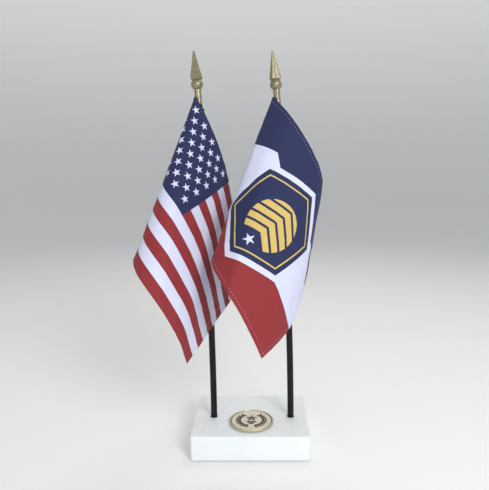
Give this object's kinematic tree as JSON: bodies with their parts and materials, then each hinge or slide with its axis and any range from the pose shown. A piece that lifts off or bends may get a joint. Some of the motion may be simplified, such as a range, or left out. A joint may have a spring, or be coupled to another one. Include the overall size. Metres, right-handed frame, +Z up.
{
  "type": "desk flag stand",
  "caption": "White painted desk block with a round medallion and two black staffs with gold spear finials, each carrying a small draped cloth flag.",
  "frame": {"origin": "on the supporting surface, under the middle of the block", "axes": "+Z up, the block's front face looks along -Y and +X is to its right"},
  "size_m": [0.1284, 0.1135, 0.2889],
  "materials": {
    "white_paint": "satin white paint",
    "felt": "felt",
    "foam_tape": "foam",
    "medallion_gold": "antique gold plating",
    "medallion_silver": "antique silver plating",
    "black_staff": "black satin lacquer",
    "gold_finial": "metallic gold moulding",
    "navy_cloth": "woven polyester",
    "striped_cloth": "printed woven polyester",
    "banded_cloth": "printed woven polyester"
  },
  "bodies": {
    "base": {"base_block": "white_paint", "felt_pad": "felt", "medallion_tape": "foam_tape", "medallion_body": "medallion_gold", "medallion_face": "medallion_silver"},
    "left_staff": {"left_staff": "black_staff", "left_finial": "gold_finial"},
    "left_flag": {"left_sleeve": "navy_cloth", "left_flag_cloth": "striped_cloth"},
    "right_staff": {"right_staff": "black_staff", "right_finial": "gold_finial"},
    "right_flag": {"right_sleeve": "navy_cloth", "right_flag_cloth": "banded_cloth"}
  },
  "joints": [
    {"name": "left_staff_lift", "type": "slide", "parent": "base", "child": "left_staff", "axis": [0, 0, 1], "range_m": [0, 0.024]},
    {"name": "left_flag_turn", "type": "hinge", "parent": "left_staff", "child": "left_flag", "pos_m": [-0.0316, -0.0026, 0.1544], "axis": [-0.0457, 0, 0.999], "range_deg": [-45, 10]},
    {"name": "right_staff_lift", "type": "slide", "parent": "base", "child": "right_staff", "axis": [0, 0, 1], "range_m": [0, 0.024]},
    {"name": "right_flag_turn", "type": "hinge", "parent": "right_staff", "child": "right_flag", "pos_m": [0.02584, -0.0026, 0.1559], "axis": [-0.0646, 0, 0.9979], "range_deg": [-5, 90]}
  ]
}
